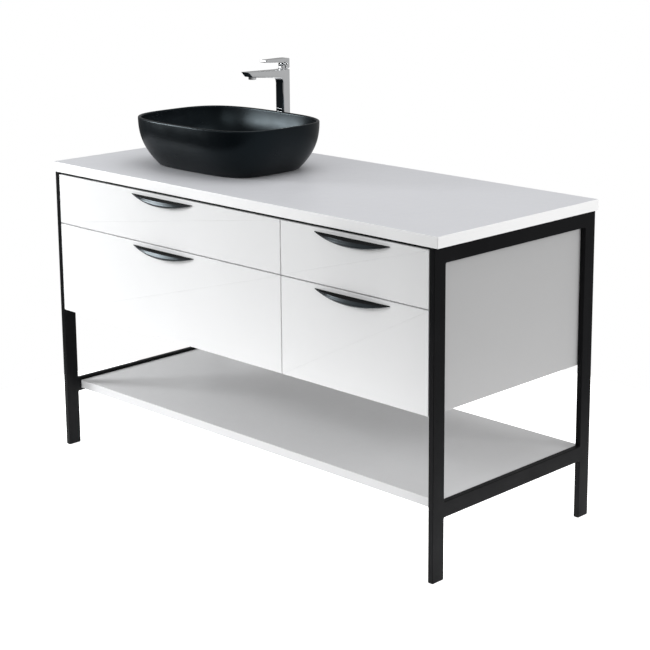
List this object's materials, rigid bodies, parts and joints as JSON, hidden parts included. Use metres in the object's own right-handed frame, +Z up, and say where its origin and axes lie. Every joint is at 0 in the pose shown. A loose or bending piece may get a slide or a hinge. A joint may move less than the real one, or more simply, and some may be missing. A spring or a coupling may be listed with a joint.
{
  "type": "vessel sink on vanity",
  "caption": "Long white drawer vanity in a black steel frame with an open shelf, a black vessel basin set off centre and a chrome lever mixer.",
  "frame": {"origin": "on the floor under the middle of the whole unit, handles included", "axes": "+X along the worktop to the right seen from the front, +Y to the wall, +Z up"},
  "size_m": [1.4, 0.6013, 1.08],
  "materials": {
    "white_lacquer": "satin white lacquer on board",
    "pale_laminate": "pale grey satin laminate on board, white edge band",
    "grey_board": "light grey melamine-faced board",
    "black_steel": "black powder coat, satin",
    "black_plastic": "matt moulded plastic",
    "zinc_steel": "bright zinc plate",
    "black_gloss": "gloss black",
    "black_ceramic": "satin black glaze",
    "chrome": "polished chrome plate"
  },
  "bodies": {
    "root": {"left_front_leg": "black_steel", "left_front_foot_cap": "black_plastic", "left_rear_leg": "black_steel", "left_rear_foot_cap": "black_plastic", "left_top_rail": "black_steel", "left_lower_rail": "black_steel", "right_front_leg": "black_steel", "right_front_foot_cap": "black_plastic", "right_rear_leg": "black_steel", "right_rear_foot_cap": "black_plastic", "right_top_rail": "black_steel", "right_lower_rail": "black_steel", "front_cross_rail": "black_steel", "rear_cross_rail": "black_steel", "worktop": "pale_laminate", "shelf": "pale_laminate", "carcass_left_side": "pale_laminate", "carcass_right_side": "pale_laminate", "carcass_bottom": "pale_laminate", "carcass_partition": "grey_board", "carcass_front_stretcher": "grey_board", "carcass_back": "grey_board", "top_left_drawer_runner_left": "zinc_steel", "top_left_drawer_runner_right": "zinc_steel", "bottom_left_drawer_runner_left": "zinc_steel", "bottom_left_drawer_runner_right": "zinc_steel", "top_right_drawer_runner_left": "zinc_steel", "top_right_drawer_runner_right": "zinc_steel", "bottom_right_drawer_runner_left": "zinc_steel", "bottom_right_drawer_runner_right": "zinc_steel", "basin": "black_ceramic", "waste_body": "chrome", "waste_nut": "chrome", "trap_body": "chrome", "trap_cup": "chrome", "trap_outlet": "chrome", "mixer_body": "chrome", "mixer_aerator": "zinc_steel", "mixer_nut": "zinc_steel"},
    "top_left_drawer": {"top_left_drawer_front": "white_lacquer", "top_left_drawer_handle": "black_gloss", "top_left_drawer_box": "grey_board", "top_left_drawer_base": "grey_board"},
    "bottom_left_drawer": {"bottom_left_drawer_front": "white_lacquer", "bottom_left_drawer_handle": "black_gloss", "bottom_left_drawer_box": "grey_board", "bottom_left_drawer_base": "grey_board"},
    "top_right_drawer": {"top_right_drawer_front": "white_lacquer", "top_right_drawer_handle": "black_gloss", "top_right_drawer_box": "grey_board", "top_right_drawer_base": "grey_board"},
    "bottom_right_drawer": {"bottom_right_drawer_front": "white_lacquer", "bottom_right_drawer_handle": "black_gloss", "bottom_right_drawer_box": "grey_board", "bottom_right_drawer_base": "grey_board"},
    "mixer_turret": {"mixer_turret": "chrome"},
    "mixer_lever": {"mixer_lever": "chrome"},
    "waste_plug": {"waste_plug": "chrome"}
  },
  "joints": [
    {"name": "top_left_drawer_slide", "type": "slide", "parent": "root", "child": "top_left_drawer", "axis": [0, -1, 0], "range_m": [0, 0.4]},
    {"name": "bottom_left_drawer_slide", "type": "slide", "parent": "root", "child": "bottom_left_drawer", "axis": [0, -1, 0], "range_m": [0, 0.4]},
    {"name": "top_right_drawer_slide", "type": "slide", "parent": "root", "child": "top_right_drawer", "axis": [0, -1, 0], "range_m": [0, 0.4]},
    {"name": "bottom_right_drawer_slide", "type": "slide", "parent": "root", "child": "bottom_right_drawer", "axis": [0, -1, 0], "range_m": [0, 0.4]},
    {"name": "mixer_swivel", "type": "hinge", "parent": "root", "child": "mixer_turret", "pos_m": [-0.297, 0.1995, 1.05], "axis": [0, 0, 1], "range_deg": [-45, 45]},
    {"name": "mixer_lift", "type": "hinge", "parent": "mixer_turret", "child": "mixer_lever", "pos_m": [-0.297, 0.1995, 1.055], "axis": [-1, 0, 0], "range_deg": [0, 20]},
    {"name": "waste_plug_lift", "type": "slide", "parent": "root", "child": "waste_plug", "axis": [0, 0, 1], "range_m": [0, 0.008]}
  ]
}
